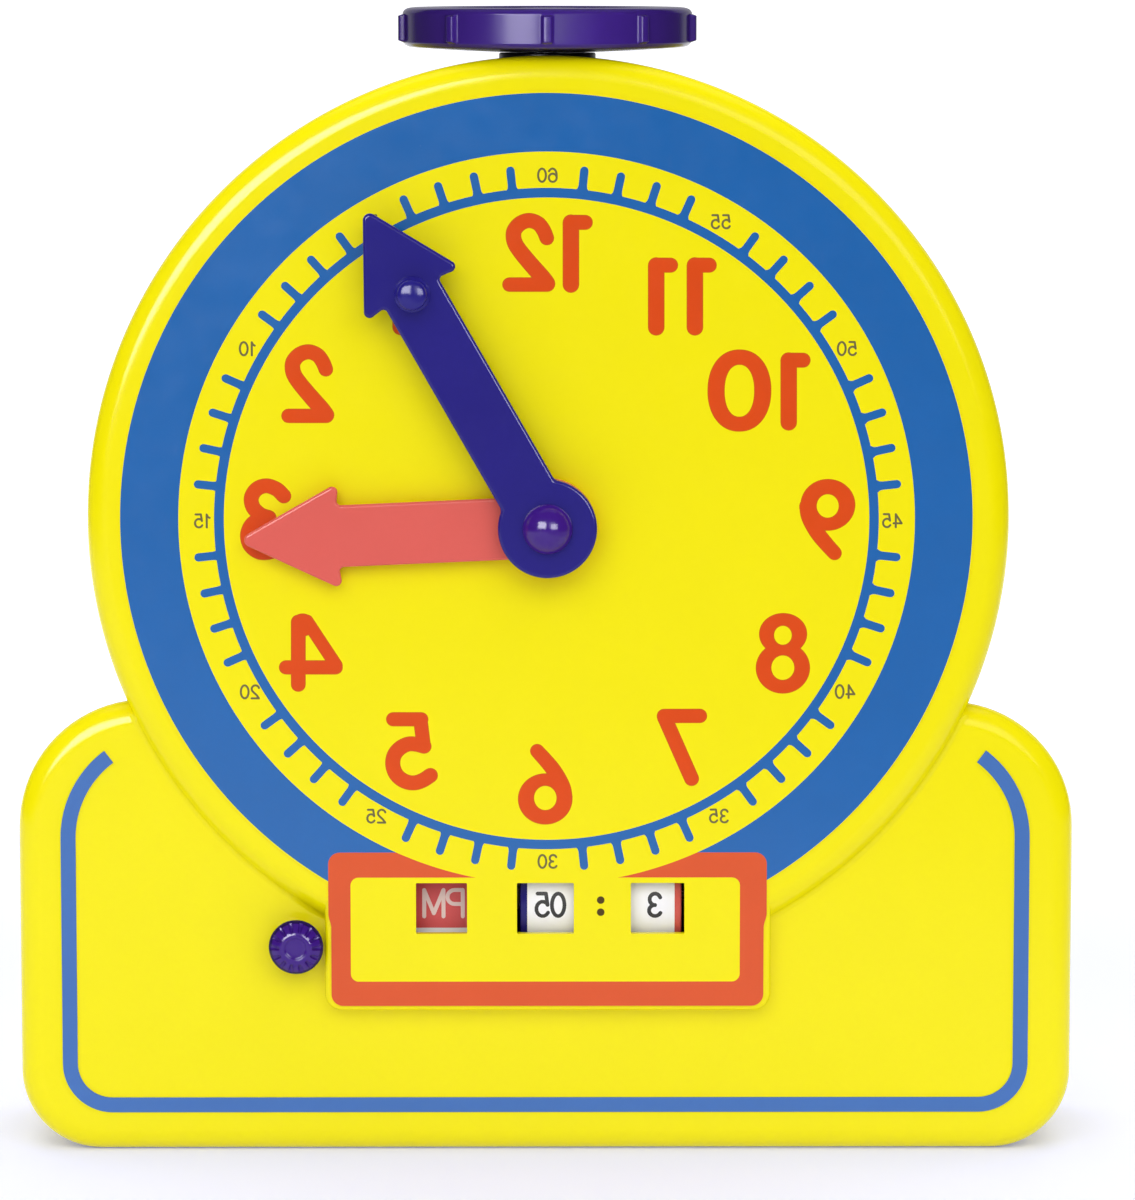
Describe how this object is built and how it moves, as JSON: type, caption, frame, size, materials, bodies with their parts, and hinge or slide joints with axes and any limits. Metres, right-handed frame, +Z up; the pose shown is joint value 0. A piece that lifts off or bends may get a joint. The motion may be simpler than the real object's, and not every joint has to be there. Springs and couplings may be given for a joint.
{
  "type": "teaching clock",
  "caption": "Free-standing demonstration clock: a hand wheel on top turns the geared hands and the number drums seen through windows, and a side knob swings the half-day flag.",
  "frame": {"origin": "on the flat underside of the base, under the hands' axis, in the upright pose it stands in", "axes": "+Z up, the dial faces -Y, +X to the right of someone who looks at the dial; the hands turn about Y and the top wheel about Z"},
  "size_m": [0.3046, 0.0978, 0.33],
  "materials": {
    "yellow_plastic": "glossy moulded yellow plastic",
    "purple_plastic": "glossy moulded purple plastic",
    "coral_plastic": "satin moulded coral plastic",
    "black_plastic": "satin black moulded plastic",
    "gear_plastic": "natural white acetal gears",
    "printed_label": "printed self-adhesive sheet, semi-gloss",
    "blue_print": "blue printed line, semi-gloss",
    "number_print": "printed white sheet",
    "steel": "zinc-plated or drawn steel",
    "brass": "turned brass"
  },
  "bodies": {
    "case": {"front_casing": "yellow_plastic", "rear_casing": "yellow_plastic", "dial_label": "printed_label", "base_stripe": "blue_print", "neck_collar": "black_plastic", "motion_stud": "steel", "arbor_bridge": "black_plastic", "idler_stud": "steel", "drum_axle": "steel", "drum_frame": "black_plastic", "case_screw_1": "steel", "case_screw_2": "steel", "case_screw_3": "steel", "case_screw_4": "steel", "case_screw_5": "steel", "case_screw_6": "steel", "frame_screw_1": "steel", "frame_screw_2": "steel", "frame_screw_3": "steel", "frame_screw_4": "steel", "bridge_screw_1": "steel", "bridge_screw_2": "steel", "bridge_screw_3": "steel", "bridge_screw_4": "steel"},
    "wheel": {"top_wheel": "purple_plastic", "drive_shaft": "steel", "shaft_clip": "steel", "upper_mitre_gear": "gear_plastic", "lower_mitre_gear": "gear_plastic"},
    "minute": {"minute_arbor": "brass", "minute_mitre_gear": "gear_plastic", "cannon_pinion": "gear_plastic", "minute_hand": "purple_plastic", "hub_cap": "purple_plastic"},
    "motion": {"motion_gear": "gear_plastic"},
    "hour": {"hour_hand": "coral_plastic", "hour_wheel": "gear_plastic"},
    "cross": {"cross_shaft": "steel", "cross_mitre_gear": "gear_plastic", "cross_spur_gear": "gear_plastic", "cross_pinion": "gear_plastic"},
    "minute_counter": {"minute_drum": "purple_plastic", "minute_number_strip": "number_print", "minute_drum_gear": "gear_plastic"},
    "idler": {"hour_idler_gear": "gear_plastic"},
    "hour_counter": {"hour_drum": "coral_plastic", "hour_number_strip": "number_print", "hour_drum_gear": "gear_plastic"},
    "half_day": {"half_day_knob": "purple_plastic", "half_day_spindle": "black_plastic", "half_day_flag": "number_print"}
  },
  "joints": [
    {"name": "wheel_turn", "type": "hinge", "parent": "case", "child": "wheel", "pos_m": [0, 0.002, 0.318], "axis": [0, 0, 1], "continuous": true},
    {"name": "minute_turn", "type": "hinge", "parent": "case", "child": "minute", "pos_m": [0, -0.045, 0.1831], "axis": [0, 1, 0], "continuous": true},
    {"name": "motion_turn", "type": "hinge", "parent": "case", "child": "motion", "pos_m": [0, -0.025, 0.1591], "axis": [0, 1, 0], "continuous": true},
    {"name": "hour_turn", "type": "hinge", "parent": "case", "child": "hour", "pos_m": [0, -0.04, 0.1831], "axis": [0, 1, 0], "continuous": true},
    {"name": "cross_turn", "type": "hinge", "parent": "case", "child": "cross", "pos_m": [0, 0.002, 0.10976], "axis": [1, 0, 0], "continuous": true},
    {"name": "minute_counter_turn", "type": "hinge", "parent": "case", "child": "minute_counter", "pos_m": [0, -0.0092, 0.0724], "axis": [1, 0, 0], "continuous": true},
    {"name": "idler_turn", "type": "hinge", "parent": "case", "child": "idler", "pos_m": [0.015, 0.0098, 0.08706], "axis": [1, 0, 0], "continuous": true},
    {"name": "hour_counter_turn", "type": "hinge", "parent": "case", "child": "hour_counter", "pos_m": [0.031, -0.0092, 0.0724], "axis": [1, 0, 0], "continuous": true},
    {"name": "half_day_turn", "type": "hinge", "parent": "case", "child": "half_day", "pos_m": [-0.0724, -0.035, 0.0614], "axis": [0, -1, 0], "range_deg": [0, 21.5]}
  ],
  "couplings": [
    {"joint": "minute_turn", "follows": "wheel_turn", "ratio": 1},
    {"joint": "motion_turn", "follows": "wheel_turn", "ratio": -0.33333},
    {"joint": "hour_turn", "follows": "wheel_turn", "ratio": 0.083333},
    {"joint": "cross_turn", "follows": "wheel_turn", "ratio": 1},
    {"joint": "minute_counter_turn", "follows": "wheel_turn", "ratio": -1},
    {"joint": "idler_turn", "follows": "wheel_turn", "ratio": -0.33333},
    {"joint": "hour_counter_turn", "follows": "wheel_turn", "ratio": 0.083333}
  ]
}
